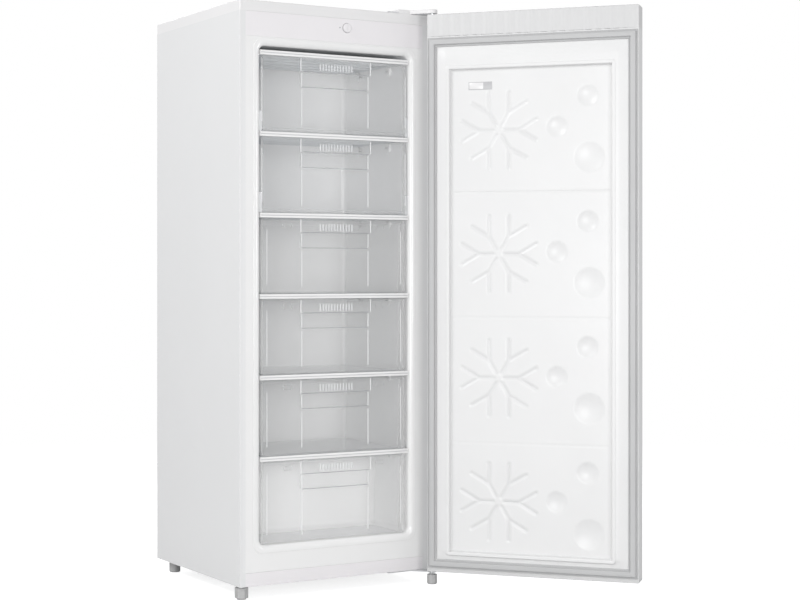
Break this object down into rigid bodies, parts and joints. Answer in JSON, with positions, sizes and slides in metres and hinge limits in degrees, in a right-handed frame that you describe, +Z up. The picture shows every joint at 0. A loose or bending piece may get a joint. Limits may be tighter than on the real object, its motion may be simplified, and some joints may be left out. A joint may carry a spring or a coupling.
{
  "type": "upright freezer",
  "caption": "Tall free-standing freezer with a hinged insulated door, folding fronts and sliding clear drawers inside, and a wire condenser at the back",
  "frame": {"origin": "on the floor, under the middle of the whole freezer's box with its door open", "axes": "+Z up, +X to the right seen from the front, +Y from the front to the back"},
  "size_m": [0.9302, 0.9678, 1.5],
  "materials": {
    "white_steel": "satin",
    "zinc_steel": "satin",
    "white_plastic": "satin",
    "liner_plastic": "gloss",
    "foam": "matte",
    "evaporator_plate": "satin",
    "evaporator_tube": "satin",
    "clear_plastic": "gloss",
    "gasket": "matte",
    "hinge_steel": "satin",
    "bush_plastic": "satin",
    "foot_plastic": "matte",
    "black_steel": "satin",
    "copper": "polished",
    "black_rubber": "matte",
    "black_plastic": "matte"
  },
  "bodies": {
    "cabinet": {"left_side_panel": "white_steel", "right_side_panel": "white_steel", "back_panel": "zinc_steel", "bottom_panel": "zinc_steel", "plinth": "white_plastic", "inner_liner": "liner_plastic", "insulation": "foam", "worktop": "white_plastic", "control_panel": "white_plastic", "thermostat": "black_plastic", "evaporator_shelf_1": "evaporator_plate", "shelf_trim_1": "liner_plastic", "evaporator_shelf_2": "evaporator_plate", "shelf_trim_2": "liner_plastic", "evaporator_shelf_3": "evaporator_plate", "shelf_trim_3": "liner_plastic", "evaporator_shelf_4": "evaporator_plate", "shelf_trim_4": "liner_plastic", "evaporator_shelf_5": "evaporator_plate", "shelf_trim_5": "liner_plastic", "evaporator_shelf_6": "evaporator_plate", "shelf_trim_6": "liner_plastic", "shelf_supports": "liner_plastic", "evaporator_coil": "evaporator_tube", "flap_pivots": "liner_plastic", "upper_hinge_bracket": "hinge_steel", "upper_hinge_pin": "hinge_steel", "lower_hinge_bracket": "hinge_steel", "lower_hinge_pin": "hinge_steel", "hinge_screws": "hinge_steel", "hinge_cover": "white_plastic", "rear_feet": "foot_plastic", "compressor_rail": "zinc_steel", "compressor_grommets": "black_rubber", "compressor": "black_steel", "start_relay_box": "black_plastic", "condenser": "black_steel", "condenser_brackets": "black_plastic", "filter_drier": "copper", "refrigerant_pipes": "copper"},
    "door": {"door_skin": "white_steel", "door_top_cap": "white_plastic", "door_bottom_cap": "white_plastic", "door_liner": "liner_plastic", "door_foam": "foam", "door_gasket": "gasket", "door_bushes": "bush_plastic"},
    "knob": {"thermostat_knob": "white_plastic"},
    "flap_upper": {"flap_1": "clear_plastic"},
    "flap_lower": {"flap_2": "clear_plastic"},
    "foot_left": {"left_foot": "foot_plastic"},
    "foot_right": {"right_foot": "foot_plastic"},
    "drawer_3": {"drawer_tray_3": "clear_plastic", "drawer_front_3": "clear_plastic"},
    "drawer_4": {"drawer_tray_4": "clear_plastic", "drawer_front_4": "clear_plastic"},
    "drawer_5": {"drawer_tray_5": "clear_plastic", "drawer_front_5": "clear_plastic"},
    "drawer_6": {"drawer_tray_6": "clear_plastic", "drawer_front_6": "clear_plastic"}
  },
  "joints": [
    {"name": "door_hinge", "type": "hinge", "parent": "cabinet", "child": "door", "pos_m": [0.07841, -0.05789, 0.0352], "axis": [0, 0, 1], "range_deg": [-131.3, 4]},
    {"name": "flap_upper_hinge", "type": "hinge", "parent": "cabinet", "child": "flap_upper", "pos_m": [-0.19009, -0.01459, 1.1733], "axis": [1, 0, 0], "range_deg": [0, 90]},
    {"name": "flap_lower_hinge", "type": "hinge", "parent": "cabinet", "child": "flap_lower", "pos_m": [-0.19009, -0.01459, 0.9701], "axis": [1, 0, 0], "range_deg": [0, 90]},
    {"name": "drawer_3_slide", "type": "slide", "parent": "cabinet", "child": "drawer_3", "axis": [0, -1, 0], "range_m": [0, 0.28]},
    {"name": "drawer_4_slide", "type": "slide", "parent": "cabinet", "child": "drawer_4", "axis": [0, -1, 0], "range_m": [0, 0.28]},
    {"name": "drawer_5_slide", "type": "slide", "parent": "cabinet", "child": "drawer_5", "axis": [0, -1, 0], "range_m": [0, 0.28]},
    {"name": "drawer_6_slide", "type": "slide", "parent": "cabinet", "child": "drawer_6", "axis": [0, -1, 0], "range_m": [0, 0.13]},
    {"name": "knob_turn", "type": "hinge", "parent": "cabinet", "child": "knob", "pos_m": [-0.16009, -0.02609, 1.439], "axis": [0, 1, 0], "range_deg": [0, 270]},
    {"name": "foot_left_screw", "type": "hinge", "parent": "cabinet", "child": "foot_left", "pos_m": [-0.44709, 0.00091, 0], "axis": [0, 0, 1], "range_deg": [-360, 720]},
    {"name": "foot_right_screw", "type": "hinge", "parent": "cabinet", "child": "foot_right", "pos_m": [0.07841, -0.05789, 0], "axis": [0, 0, 1], "range_deg": [-360, 720]}
  ]
}
